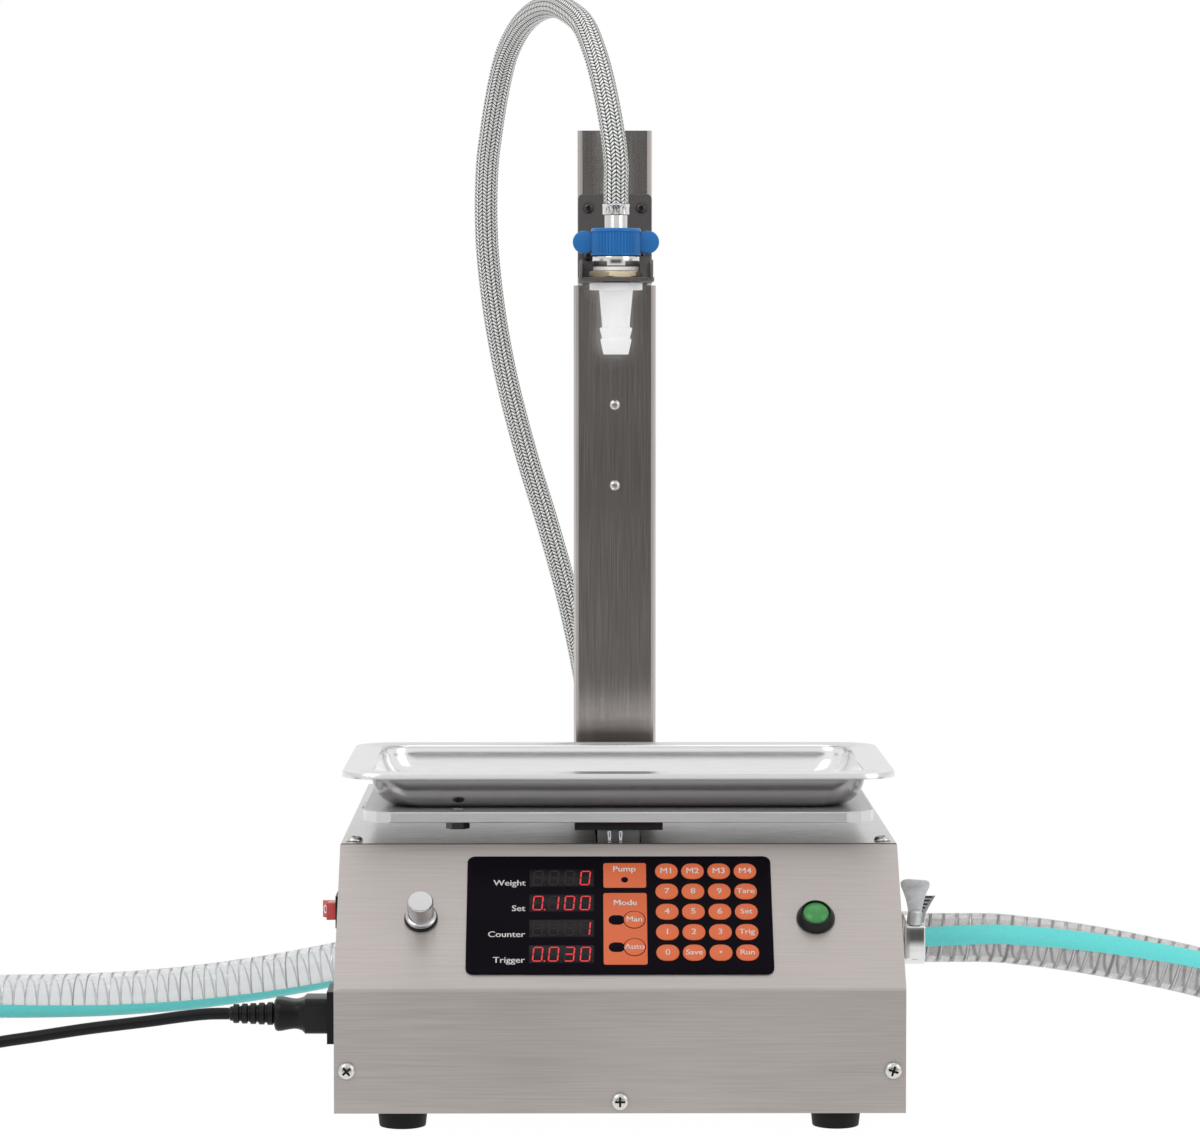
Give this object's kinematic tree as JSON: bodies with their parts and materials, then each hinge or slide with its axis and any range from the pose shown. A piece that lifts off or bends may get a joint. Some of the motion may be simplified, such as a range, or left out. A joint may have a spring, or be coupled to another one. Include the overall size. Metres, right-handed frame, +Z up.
{
  "type": "benchtop liquid filling machine",
  "caption": "Benchtop liquid filler: sloped steel body with keypad and displays, weighing tray, sliding post with a nozzle, braided and clear hoses, power cord.",
  "frame": {"origin": "middle of the machine's footprint, hoses and cord left out, at the height of the bench its feet stand on", "axes": "+Z up along the post; the sloped keypad faces -Y; +X is the machine's right as its operator sees it"},
  "size_m": [1.3444, 0.4263, 0.6028],
  "materials": {
    "body": "brushed, horizontal grain",
    "top_steel": "brushed, brighter than the front",
    "tray": "polished stainless steel",
    "post": "dark brushed, vertical grain",
    "dark_sheet": "satin dark grey",
    "aluminium": "satin",
    "bright_metal": "nickel-plated",
    "screw": "zinc-plated",
    "brass": "turned",
    "rubber": "matt",
    "black_plastic": "satin",
    "keypad": "smooth film",
    "board": "coated board",
    "green_button": "smooth",
    "red_rocker": "translucent red",
    "wing_nut": "moulded",
    "white_plastic": "machined",
    "clear_hose": "clear, with a wound wire",
    "braid": "woven wire",
    "cord": "satin sheath"
  },
  "bodies": {
    "base": {"base_pan": "body", "button_bezel": "black_plastic", "foot_front_left": "rubber", "foot_front_right": "rubber", "foot_rear_left": "rubber", "foot_rear_right": "rubber", "front_panel": "body", "inlet_clamp": "bright_metal", "inlet_hose": "clear_hose", "inlet_hose_coil": "clear_hose", "inlet_hose_end": "clear_hose", "inlet_port": "bright_metal", "keypad_board": "board", "keypad_overlay": "keypad", "load_cell": "aluminium", "mains_plug": "black_plastic", "outlet_elbow": "bright_metal", "overload_stop": "screw", "panel_screw_bottom": "screw", "panel_screw_far_left": "screw", "panel_screw_far_right": "screw", "panel_screw_front_left": "screw", "panel_screw_front_right": "screw", "panel_screw_near_left": "screw", "panel_screw_near_right": "screw", "platform_strap": "black_plastic", "post_sleeve": "post", "power_cord": "cord", "power_cord_coil": "cord", "power_inlet": "black_plastic", "power_plug": "black_plastic", "pump_housing": "bright_metal", "pump_motor": "dark_sheet", "return_elbow": "bright_metal", "return_hose": "clear_hose", "return_hose_coil": "clear_hose", "rocker_frame": "black_plastic", "side_panel_left": "body", "side_panel_right": "body", "sleeve_screw_lower": "screw", "sleeve_screw_upper": "screw", "top_plate": "top_steel", "weigh_platform": "aluminium"},
    "carriage": {"post_slider": "post", "nozzle_bracket": "dark_sheet", "bracket_screw_left": "screw", "bracket_screw_right": "screw", "threaded_sleeve": "bright_metal", "seal_washer": "white_plastic", "lock_nut": "brass", "nozzle": "white_plastic", "hose_tail": "bright_metal", "outlet_hose": "braid"},
    "wing_nut_body": {"wing_nut": "wing_nut"},
    "tray": {"weigh_tray": "tray"},
    "knob": {"control_knob": "aluminium"},
    "button": {"button_cap": "green_button"},
    "rocker": {"power_rocker": "red_rocker"},
    "clamp_key": {"inlet_clamp_key": "bright_metal"},
    "rotor": {"impeller": "white_plastic"}
  },
  "joints": [
    {"name": "height_slide", "type": "slide", "parent": "base", "child": "carriage", "axis": [0, 0, 1], "range_m": [0, 0.12], "deforming": ["outlet_hose"]},
    {"name": "tray_lift", "type": "slide", "parent": "base", "child": "tray", "axis": [0, 0, 1], "range_m": [0, 0.05]},
    {"name": "wing_nut_turn", "type": "hinge", "parent": "carriage", "child": "wing_nut_body", "pos_m": [-0.0125, 0.02225, 0.4524], "axis": [0, 0, 1], "continuous": true},
    {"name": "knob_turn", "type": "hinge", "parent": "base", "child": "knob", "pos_m": [-0.1143, -0.17674, 0.11482], "axis": [0, -0.7082, 0.706], "range_deg": [-135, 135]},
    {"name": "button_press", "type": "slide", "parent": "base", "child": "button", "axis": [0, 0.7082, -0.706], "range_m": [0, 0.0025], "stiffness_N_per_m": 400},
    {"name": "rocker_tilt", "type": "hinge", "parent": "base", "child": "rocker", "pos_m": [-0.1575, -0.14075, 0.11], "axis": [0, 0, -1], "range_deg": [0, 24]},
    {"name": "clamp_key_turn", "type": "hinge", "parent": "base", "child": "clamp_key", "pos_m": [0.1444, -0.10655, 0.088], "axis": [0, 0, 1], "continuous": true},
    {"name": "rotor_spin", "type": "hinge", "parent": "base", "child": "rotor", "pos_m": [0.0964, -0.08975, 0.088], "axis": [1, 0, 0], "continuous": true}
  ]
}
